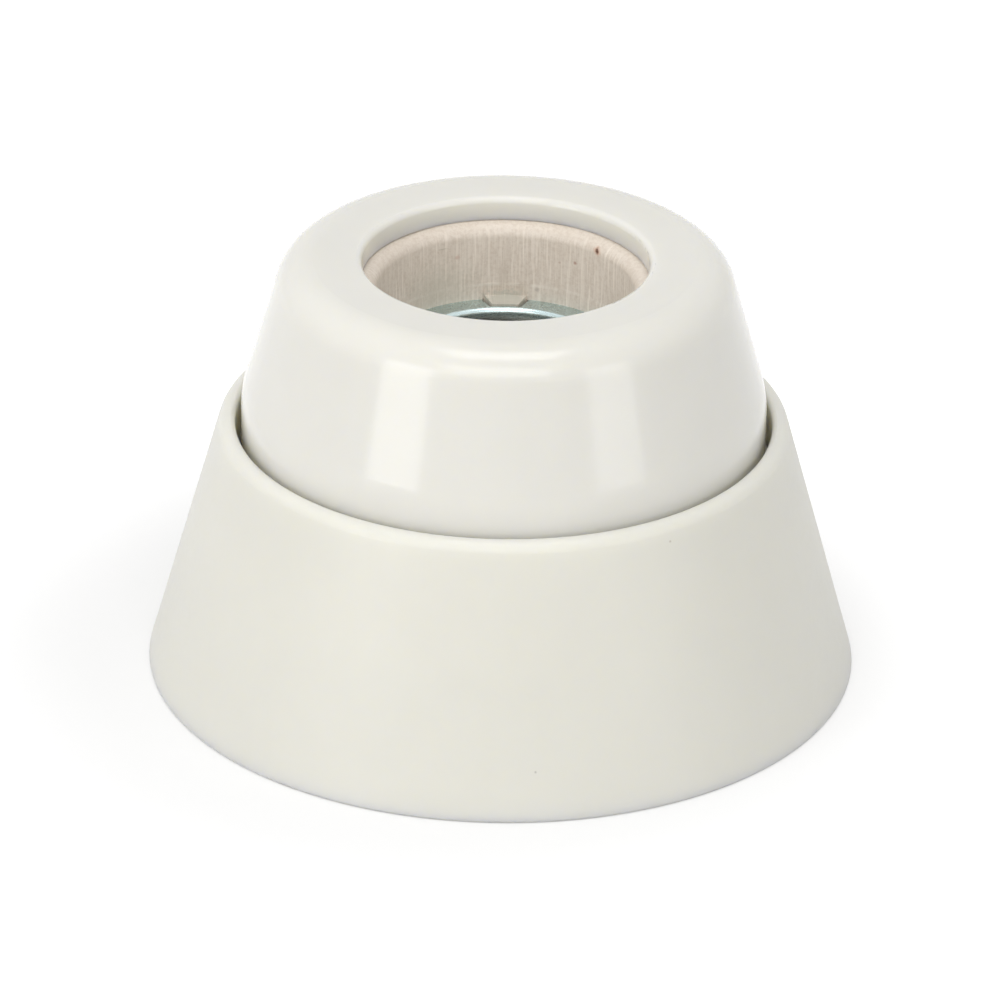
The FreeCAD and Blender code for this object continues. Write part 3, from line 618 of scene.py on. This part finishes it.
def porcelain_finish(name, colour, marks, spots):
    """Glazed porcelain with upright draw marks, a painted highlight along the band's edge,
    and spots, which are fired-in stains or painted shade.
    """
    paint, tree, shader = start_finish(name)
    drift = use_group(tree, colour_drift, Colour=(*colour, 1), Amount=0.05)
    mottle = grain(tree, 0.00055, detail=4.0, rough=0.75)
    tone = mix_colour(tree, smooth_range(tree, mottle, 0.41, 0.64, 0.0, 0.60),
                      drift.outputs["Colour"],
                      (*(c * m for c, m in zip(colour, MOTTLE)), 1))
    turned = round_the_axis(tree, RING_BORE_R * MM, 0.05)
    single = smooth_range(tree, grain(tree, 0.00036, detail=0.0, at=turned), 0.58, 0.70)
    thin = smooth_range(tree, grain(tree, 0.00022, detail=2.0, at=turned), 0.45, 0.66)
    lines = math_node(tree, "ADD", math_node(tree, "MULTIPLY", single, 0.60),
                      math_node(tree, "MULTIPLY", thin, 0.50))
    edge = math_node(tree, "ADD", height_of(tree), math_node(
        tree, "MULTIPLY", grain(tree, 0.0006, detail=1.0, at=turned), 0.0030))
    below = smooth_range(tree, edge, MARKS_TOP[0] * MM, MARKS_TOP[1] * MM)
    strength = math_node(tree, "MULTIPLY", math_node(tree, "MULTIPLY", below, lines),
                         marks)
    tone = mix_colour(tree, strength, tone, PALE_MARK)
    # Painted highlight: a paler, broken line where the band's upper edge catches the light.
    foot, low, high, head = (h * MM for h in LEDGE_LINE)
    ledge = math_node(tree, "MULTIPLY", smooth_range(tree, height_of(tree), foot, low),
                      smooth_range(tree, height_of(tree), head, high))
    ledge_glint = smooth_range(tree, grain(tree, 0.0020), 0.35, 0.60, 0.0, marks * LEDGE_HIGHLIGHT_SHARE)
    tone = mix_colour(tree, math_node(tree, "MULTIPLY", ledge, ledge_glint), tone, LEDGE_HIGHLIGHT)
    dots = use_group(tree, specks, Spacing=0.0021, Size=0.06, Share=0.30)
    tone = mix_colour(tree, math_node(tree, "MULTIPLY", dots.outputs[0], 0.5), tone,
                      GLAZE_SPECK)
    tree.links.new(add_spots(tree, tone, spots), shader.inputs["Base Color"])
    rough = grain(tree, 0.0016, detail=2.0)
    tree.links.new(smooth_range(tree, rough, 0.3, 0.7, 0.30, 0.42),
                   shader.inputs["Roughness"])
    shader.inputs["IOR"].default_value = 1.5
    height = math_node(tree, "ADD", math_node(tree, "MULTIPLY", lines, 0.4),
                       math_node(tree, "MULTIPLY", grain(tree, 0.0022), 0.6))
    bump_from(tree, shader, height, 0.25, 0.00012)
    return paint


ring_paint = porcelain_finish("ring_porcelain", (0.77, 0.690, 0.600), 0.60, STAINS_AND_SHADE)
insert_paint = porcelain_finish("insert_porcelain", (0.74, 0.67, 0.60), 0.10, [])
print("finishes:", ring_paint.name, insert_paint.name)

# %% [markdown]
# ## Metals
# The screw shell is zinc-plated steel with a bluish passivation, drawn and rolled, so
# its fine marks run round the axis. Down in the tube its colour is darkened with depth,
# a painted shade for the dark inside of the tube. The terminals and straps are brass,
# the contact is bronze, and the screws are plain plated steel. A metal could have one
# flat colour, but it is mostly its reflection, so the finish is a base colour with a
# little drift, and a roughness and a fine bump that change from place to place.

# %% Metal finishes
# Painted shade: from 42.7 mm down to 41.6 mm the zinc darkens towards this colour, for the
# dark inside of the tube.
SHELL_TUBE_SHADE = (42.7, 41.6, (0.30, 0.28, 0.25))


def metal_finish(name, colour, tint, roughness, spread, stretch, scratch, tube_shade=None):
    """Metal with a drifting tint and fine marks; the last argument, if given, is (start,
    full, colour) of a painted shade by height.
    """
    paint, tree, shader = start_finish(name)
    drift = use_group(tree, colour_drift, Colour=(*colour, 1), Amount=0.10)
    tone = mix_colour(tree, smooth_range(tree, drift.outputs["Cloud"], 0.45, 0.62, 0.0,
                                         0.5), drift.outputs["Colour"], (*tint, 1))
    # Painted shade: the colour darkens towards the bottom of the tube.
    if tube_shade:
        start, full, shade_tone = tube_shade
        depth = smooth_range(tree, height_of(tree), start * MM, full * MM, 0.0, 0.8)
        tone = mix_colour(tree, depth, tone, (*shade_tone, 1))
    tree.links.new(tone, shader.inputs["Base Color"])
    shader.inputs["Metallic"].default_value = 1.0
    marks = grain(tree, 0.0004, stretch, detail=3.0, rough=0.6)
    tree.links.new(smooth_range(tree, marks, 0.3, 0.7, roughness - spread,
                                roughness + spread), shader.inputs["Roughness"])
    bump_from(tree, shader, marks, scratch, 0.00003)
    return paint


zinc_paint = metal_finish("zinc_steel", (0.59, 0.71, 0.72), (0.65, 0.73, 0.71),
                          0.27, 0.07, (0.35, 0.35, 6), 0.35, SHELL_TUBE_SHADE)
brass_paint = metal_finish("brass", (0.83, 0.62, 0.30), (0.72, 0.52, 0.25),
                           0.30, 0.08, (1, 0.15, 1), 0.3)
bronze_paint = metal_finish("contact_bronze", (0.80, 0.52, 0.32), (0.68, 0.42, 0.26),
                            0.28, 0.07, (1, 0.12, 1), 0.3)
screw_paint = metal_finish("screw_steel", (0.66, 0.67, 0.66), (0.72, 0.70, 0.62),
                           0.30, 0.07, (1, 1, 1), 0.25)
print("finishes:", [p.name for p in (zinc_paint, brass_paint, bronze_paint, screw_paint)])

# %% [markdown]
# ## Softened edges
# Nothing cut, pressed or fired has a knife edge. The solids could carry these small
# roundings too, but they would be slow to build and easy to break. So a copy of each
# inner piece's mesh is merged, its flat faces are joined, and a Bevel modifier of the
# right size for the material breaks the edges: about a tenth of a millimetre for metal
# and a third of a millimetre for the porcelain insert.

# %% Editing helpers
MERGE_WITHIN = 0.000002
FLAT_WITHIN = math.radians(0.6)


def only(piece):
    """Select this piece alone and make it active."""
    bpy.ops.object.select_all(action="DESELECT")
    piece.select_set(True)
    bpy.context.view_layer.objects.active = piece


def edit(piece):
    """Enter edit mode on this piece with nothing selected."""
    only(piece)
    bpy.ops.object.mode_set(mode="EDIT")
    bpy.ops.mesh.select_all(action="DESELECT")


def done():
    """Leave edit mode."""
    bpy.ops.object.mode_set(mode="OBJECT")


def apply_modifier(piece, kind, **values):
    """Add one modifier, set it, and apply it."""
    only(piece)
    modifier = piece.modifiers.new(kind.lower(), kind)
    for label, amount in values.items():
        setattr(modifier, label, amount)
    bpy.ops.object.modifier_apply(modifier=modifier.name)


def merged_copy(node):
    """A copy of a node's mesh with its loose triangles merged and flats joined."""
    piece = bpy.data.objects.new(node + "_finished", nodes[node].data.copy())
    bpy.context.scene.collection.objects.link(piece)
    edit(piece)
    bpy.ops.mesh.customdata_custom_splitnormals_clear()
    bpy.ops.mesh.select_all(action="SELECT")
    bpy.ops.mesh.remove_doubles(threshold=MERGE_WITHIN)
    bpy.ops.mesh.dissolve_limited(angle_limit=FLAT_WITHIN)
    bpy.ops.mesh.normals_make_consistent(inside=False)
    done()
    return piece


def soften(piece, radius, segments=2, angle=38):
    """Round the edges that turn by more than the angle; the radius is in mm."""
    apply_modifier(piece, "BEVEL", width=radius * MM, segments=segments,
                   limit_method="ANGLE", angle_limit=math.radians(angle),
                   use_clamp_overlap=True)


def finish_piece(piece, body, node, paint, angle=32):
    """Shade, paint and hang a piece on its body, and in a node's place if one is given."""
    only(piece)
    bpy.ops.object.shade_smooth_by_angle(angle=math.radians(angle))
    piece.data.materials.clear()
    piece.data.materials.append(paint)
    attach(piece, body)
    if node:
        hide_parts(node)
    print(piece.name, "on", body, "with", len(piece.data.polygons), "faces")
    return piece


print("editing helpers ready")

# %% Metal and porcelain pieces inside the holder
INNER = [
    # node, body, slot, finish, edge radius in mm
    ("insulator", "base", "porcelain", insert_paint, 0.35),
    ("side_strap", "base", "brass", brass_paint, 0.08),
    ("centre_strap", "base", "brass", brass_paint, 0.08),
    ("side_terminal", "base", "brass", brass_paint, 0.15),
    ("centre_terminal", "base", "brass", brass_paint, 0.15),
    ("shell_screw", "base", "screw_steel", screw_paint, 0.10),
    ("contact_screw", "base", "screw_steel", screw_paint, 0.10),
    ("terminal_screws", "base", "screw_steel", screw_paint, 0.10),
    ("insert_screws", "base", "screw_steel", screw_paint, 0.14),
    ("insert_washers", "base", "screw_steel", screw_paint, 0.08),
    ("base_bushes", "base", "brass", brass_paint, 0.10),
    ("centre_contact", "contact", "contact_bronze", bronze_paint, 0.08),
]
for node, body, slot, paint, radius in INNER:
    piece = merged_copy(node)
    soften(piece, radius)
    finish_piece(piece, body, node, paint)

# %% [markdown]
# ## Guard ring
# Porcelain shrinks unevenly in the kiln, so the ring's top never lies quite flat under
# the cap's lip, and the gap between them shows as a fine line that is darker here and
# there. A new ring could be spun from an outline, but the solid's mesh already has the
# lugs. So a copy of it is shaped: its lugs slope up to the wall, the step above the
# flange becomes a low band, the edges are softened, and last the top is lowered by a
# tenth of a millimetre or so, which varies slowly round the ring. Its flat faces are cut
# into triangles first, because a flat face with many corners folds wrongly once some of
# them move.

# %% Shaping the ring
GAPS = [
    # angle from +Y towards +X and half width in degrees, extra depth in mm
    (-56, 3.5, 0.10), (-43.3, 2.0, 0.12), (58, 16, 0.06), (-75, 9, 0.04),
]
TOP_REACH = 1.6
TOP_DROP, TOP_SWING, TOP_RIPPLE = 0.075, 0.06, 0.03
LUG_TOP, LUG_ROOT_TOP = 43.45, 43.75
LUG_REACH = 3.0
LUG_ROOT = (15.8, 16.6)
STEP_R, STEP_TOP = 16.75, 45.4
BAND_OUT, BAND_SLOPE = 0.16, 0.15


def slope_lugs(piece):
    """Raise the lugs' upper faces where they leave the wall, so that they slope."""
    moved = 0
    for v in piece.data.vertices:
        x, y, z = (c / MM for c in v.co)
        if abs(z - LUG_TOP) > 0.05 or abs(x) > LUG_REACH:
            continue
        if LUG_ROOT[0] < math.hypot(x, y) < LUG_ROOT[1]:
            v.co.z = LUG_ROOT_TOP * MM
            moved += 1
    print("lug corners raised:", moved)


def raise_band(piece):
    """Turn the step above the flange into a low band that stands out of the wall."""
    moved = 0
    for v in piece.data.vertices:
        x, y, z = (c / MM for c in v.co)
        r = math.hypot(x, y)
        if z < STEP_TOP + 0.05 and abs(r - STEP_R) < 0.03:
            v.co.x *= (RING_BORE_R - BAND_OUT) / r
            v.co.y *= (RING_BORE_R - BAND_OUT) / r
            if z > STEP_TOP - 0.5:
                v.co.z -= BAND_SLOPE * MM
            moved += 1
    print("band corners moved:", moved)


def warp_top(piece, level):
    """Lower the top of the ring by a slowly varying amount."""
    reach = TOP_REACH * MM
    deepest = 0.0
    for v in piece.data.vertices:
        share = min(1.0, max(0.0, (v.co.z - (level - reach)) / reach))
        angle = math.atan2(v.co.x, v.co.y)
        at = Vector((math.cos(angle) * 3.1, math.sin(angle) * 3.1, 0.4))
        drop = TOP_DROP + TOP_SWING * noise.noise(at) + TOP_RIPPLE * noise.noise(at * 4.3)
        for middle, half, extra in GAPS:
            drop += extra * math.exp(-((math.degrees(angle) - middle) / half) ** 2)
        drop = max(0.01, drop) * MM * share
        v.co.z -= drop
        deepest = max(deepest, drop)
    print("ring top lowered by up to", round(deepest / MM, 3), "mm")


print("ring shaping ready, with", len(GAPS), "wider gaps")

# %% Guard ring
ring = merged_copy("guard_ring")
edit(ring)
bpy.ops.mesh.select_all(action="SELECT")
bpy.ops.mesh.quads_convert_to_tris(ngon_method="CLIP")
done()
slope_lugs(ring)
raise_band(ring)
soften(ring, 0.22, segments=3, angle=30)
warp_top(ring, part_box("guard_ring")[1].z)
finish_piece(ring, "ring", "guard_ring", ring_paint)

# %% [markdown]
# ## Screw shell
# The shell is one piece of thin sheet: a flange, a round thread rolled into the tube, a
# plain neck and a bottom turned in. A Screw modifier could wind the thread, but not let
# it die out into the flange's bend and the neck. So the sheet is walked from ring to
# ring of edges, as on a spinning lathe, and then each point of the tube is pushed in
# along the helix, less towards both ends.

# %% Walking a ring of edges
def walk_ring(name, stations, sides):
    """Extrude a circle of edges from (radius, height) to (radius, height), in mm."""
    radius, height = stations[0]
    bpy.ops.object.select_all(action="DESELECT")
    bpy.ops.mesh.primitive_circle_add(vertices=sides, radius=radius * MM,
                                      location=(0, 0, height * MM))
    piece = bpy.context.object
    piece.name = name
    bpy.ops.object.transform_apply(location=True, rotation=True, scale=True)
    bpy.ops.object.mode_set(mode="EDIT")
    bpy.ops.mesh.select_all(action="SELECT")
    for r, z in stations[1:]:
        bpy.ops.mesh.extrude_edges_move()
        bpy.ops.transform.resize(value=(r / radius, r / radius, 1),
                                 center_override=(0, 0, 0))
        bpy.ops.transform.translate(value=(0, 0, (z - height) * MM))
        radius, height = r, z
    bpy.ops.mesh.select_all(action="SELECT")
    bpy.ops.mesh.normals_make_consistent(inside=False)
    done()
    return piece


def arc(centre_r, centre_z, radius, start, end, count):
    """Stations along an arc in the (radius, height) plane; angles in degrees."""
    steps = [math.radians(start + (end - start) * i / count) for i in range(count + 1)]
    return [(centre_r + radius * math.cos(a), centre_z + radius * math.sin(a))
            for a in steps]


print("outline helpers ready")

# %% Sizes of the shell, in mm
SHEET = 0.4
shell_low, shell_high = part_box("screw_shell")
FLANGE_Z = shell_high.z / MM
BOTTOM_Z = shell_low.z / MM
FLANGE_R = shell_high.x / MM
THREAD_R = 13.35
CREST_R = 12.15
PITCH = 3.629
NECK_R = 12.3
NECK_Z = BOTTOM_Z + 5.9
NECK_STEP = 1.05
BEND = 0.75
FOOT_BEND = 0.35
BOTTOM_ROW_R = 10.4
HOLE_R = 9.3
ROW = 0.35
SIDES = 128
print("shell from", round(BOTTOM_Z, 2), "to", round(FLANGE_Z, 2), "mm, flange r",
      round(FLANGE_R, 2))

# %% Screw shell
def shell_stations():
    """The inner skin of the shell from the flange's edge down to the hole."""
    tube = [(THREAD_R, FLANGE_Z - BEND - ROW * i) for i in range(1, 32)]
    tube = [s for s in tube if s[1] > NECK_Z + 0.1]
    return ([(FLANGE_R, FLANGE_Z), (FLANGE_R - 0.3, FLANGE_Z), (16.6, FLANGE_Z),
             (15.4, FLANGE_Z)]
            + arc(THREAD_R + BEND, FLANGE_Z - BEND, BEND, 90, 180, 8)
            + tube
            + [(THREAD_R, NECK_Z), (NECK_R, NECK_Z - NECK_STEP)]
            + [(NECK_R, BOTTOM_Z + SHEET + 2.5)]
            + arc(NECK_R - FOOT_BEND, BOTTOM_Z + SHEET + FOOT_BEND, FOOT_BEND, 0, -90, 3)
            + [(BOTTOM_ROW_R, BOTTOM_Z + SHEET), (HOLE_R, BOTTOM_Z + SHEET)])


def roll_thread(piece):
    """Push the tube in along a right-hand helix, fading at both ends."""
    top, low = FLANGE_Z - BEND - 0.4, NECK_Z + 0.2
    moved = 0
    for v in piece.data.vertices:
        z = v.co.z / MM
        r = math.hypot(v.co.x, v.co.y) / MM
        if not (low < z < top) or abs(r - THREAD_R) > 0.02:
            continue
        fade = min(1.0, (top - z) / 1.4, (z - low) / 1.2)
        turn = math.atan2(v.co.y, v.co.x) / (2 * math.pi)
        wave = 0.5 - 0.5 * math.cos(2 * math.pi * (z / PITCH - turn))
        pushed = THREAD_R - (THREAD_R - CREST_R) * wave * fade
        v.co.x *= pushed / r
        v.co.y *= pushed / r
        moved += 1
    return moved


shell = walk_ring("screw_shell_finished", shell_stations(), SIDES)
print("thread points moved:", roll_thread(shell))

# %% [markdown]
# ## Notches in the flange
# Two notches in the flange key the shell to the ring's lugs. A Boolean could cut them,
# but it is fragile on a sheet that is still open. So the columns of points beside each
# notch are first turned onto its outline, and the faces between them are deleted.

# %% Notches in the flange
NOTCH_TIP, NOTCH_WALL = 2.0, 3.2
NOTCH_IN_R, NOTCH_TAPER = 14.1, 2.4
EDGE_COLUMN, NEXT_COLUMN = 3, 4
COLUMN_GAP = math.radians(0.9)


def notch(piece, side):
    """Take a tapered notch out of the flange, as wide as a lug and its gap."""
    step = 360 / SIDES
    for v in piece.data.vertices:
        x, y, z = (c / MM for c in v.co)
        r = math.hypot(x, y)
        angle = math.degrees(math.atan2(x, y * side))
        column = round(abs(angle) / step)
        if z < FLANGE_Z - 0.01 or column not in (EDGE_COLUMN, NEXT_COLUMN):
            continue
        widened = min(1.0, max(0.0, (r - NOTCH_IN_R) / NOTCH_TAPER))
        half = NOTCH_TIP + (NOTCH_WALL - NOTCH_TIP) * widened
        edge = math.asin(half / r)
        if column == NEXT_COLUMN:
            edge = max(edge + COLUMN_GAP, math.radians(abs(angle)))
        edge = math.copysign(edge, angle)
        v.co.x, v.co.y = r * MM * math.sin(edge), r * MM * math.cos(edge) * side
    edit(piece)
    bpy.ops.mesh.select_mode(type="FACE")
    done()
    gone = 0
    for poly in piece.data.polygons:
        x, y, z = (c / MM for c in poly.center)
        angle = math.degrees(math.atan2(x, y * side))
        poly.select = z > FLANGE_Z - 0.001 and abs(angle) < EDGE_COLUMN * step
        gone += poly.select
    bpy.ops.object.mode_set(mode="EDIT")
    bpy.ops.mesh.delete(type="FACE")
    done()
    return gone


print("faces taken out:", notch(shell, 1), notch(shell, -1))

# %% [markdown]
# ## Thickness and tab
# So far the shell is a skin. Solidify gives it the thickness of the sheet, outwards, so
# that the thread keeps its inner size. The tab that carries the shell's screw is a small
# plate of the same sheet inside the bottom, joined to the shell's mesh.

# %% Shell thickness and tab
TAB = [(-3.1, -10.3), (3.1, -10.3), (3.1, -5.75), (-3.1, -5.75)]


def flat_plate(name, corners, low, high):
    """A closed plate over an outline; millimetres."""
    bpy.ops.object.select_all(action="DESELECT")
    bpy.ops.mesh.primitive_circle_add(vertices=len(corners), radius=0.001,
                                      fill_type="NGON", location=(0, 0, 0))
    block = bpy.context.object
    block.name = name
    for v, (x, y) in zip(block.data.vertices, corners):
        v.co = (x * MM, y * MM, low * MM)
    edit(block)
    bpy.ops.mesh.select_all(action="SELECT")
    bpy.ops.mesh.extrude_region_move(
        TRANSFORM_OT_translate={"value": (0, 0, (high - low) * MM)})
    bpy.ops.mesh.select_all(action="SELECT")
    bpy.ops.mesh.normals_make_consistent(inside=False)
    done()
    return block


apply_modifier(shell, "SOLIDIFY", thickness=SHEET * MM, offset=-1.0)
tab = flat_plate("tab", TAB, BOTTOM_Z, BOTTOM_Z + SHEET)
only(shell)
tab.select_set(True)
bpy.ops.object.join()
finish_piece(shell, "base", "screw_shell", zinc_paint, 40)

# %% [markdown]
# ## Threads of cap and base
# The cap screws into the base with a coarse right-hand thread of 3 mm pitch. A ridge
# could be walked ring by ring as the shell was, but its outline never changes, so a
# Screw modifier carries a small flat outline round the axis. The base's ridge starts
# half a pitch below the cap's, so that they lie between each other, and both run out to
# nothing at their ends, as moulded threads do.

# %% Ridges
CAP_PITCH = 3.0
RIDGE_H = 0.58
RIDGE_FOOT, RIDGE_CREST = 0.60, 0.28
SUNK = 0.25
STEPS_PER_TURN = 96
RUN_OUT = 25


def ridge(name, wall_r, crest_r, start_z, turns):
    """A helical ridge from wall_r to crest_r, sunk into the wall and run out at its ends."""
    into = -SUNK if crest_r > wall_r else SUNK
    half = [(wall_r + into, RIDGE_FOOT + 0.02), (wall_r, RIDGE_FOOT),
            (crest_r, RIDGE_CREST)]
    outline = [(r, -z) for r, z in half] + half[::-1]
    bpy.ops.object.select_all(action="DESELECT")
    bpy.ops.mesh.primitive_circle_add(vertices=len(outline), radius=0.001,
                                      location=(0, 0, 0))
    piece = bpy.context.object
    piece.name = name
    for v, (r, z) in zip(piece.data.vertices, outline):
        v.co = (r * MM, 0, (start_z + z) * MM)
    apply_modifier(piece, "SCREW", axis="Z", angle=2 * math.pi * turns,
                   screw_offset=CAP_PITCH * turns * MM, iterations=1,
                   steps=int(STEPS_PER_TURN * turns),
                   render_steps=int(STEPS_PER_TURN * turns),
                   use_smooth_shade=True)
    run_out(piece, wall_r + into, len(outline))
    edit(piece)
    bpy.ops.mesh.select_all(action="SELECT")
    bpy.ops.mesh.remove_doubles(threshold=0.000001)
    bpy.ops.mesh.fill_holes(sides=0)
    bpy.ops.mesh.select_all(action="SELECT")
    bpy.ops.mesh.normals_make_consistent(inside=False)
    done()
    return piece


def run_out(piece, root_r, corners):
    """Draw the first and last 25 degrees of the ridge back into the wall."""
    rings = len(piece.data.vertices) // corners
    span = int(STEPS_PER_TURN * RUN_OUT / 360)
    for number, v in enumerate(piece.data.vertices):
        ring_number = number // corners
        left = min(ring_number, rings - 1 - ring_number)
        if left >= span:
            continue
        share = 0.04 + 0.96 * math.sin(math.pi / 2 * left / span)
        r = math.hypot(v.co.x, v.co.y)
        goal = root_r * MM + (r - root_r * MM) * share
        v.co.x *= goal / r
        v.co.y *= goal / r


print("ridge helpers ready, pitch", CAP_PITCH, "mm")

# %% Threads of cap and base
SKIRT_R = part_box("cap")[1].x / MM
BASE_BORE_R = 34.55
CAP_START = 25.3
BASE_START = 23.8
cap_thread = ridge("cap_thread", SKIRT_R, SKIRT_R + RIDGE_H, CAP_START, 1.25)
finish_piece(cap_thread, "cap", None, thread_paint)
base_thread = ridge("base_thread", BASE_BORE_R, BASE_BORE_R - RIDGE_H, BASE_START, 1.5)
finish_piece(base_thread, "base", None, thread_paint)

# %% [markdown]
# ## Base and cap
# The solids of the base and the cap already have their roundings and are smooth enough
# to show. They could be copied as the inner pieces were, but nothing on them has to
# change, so the nodes stay and only get their finish.

# %% Paint the nodes that stay as they are
for node, paint in (("base_housing", base_paint), ("cap", cap_paint)):
    nodes[node].data.materials[0] = paint
print("nodes painted: base_housing, cap")
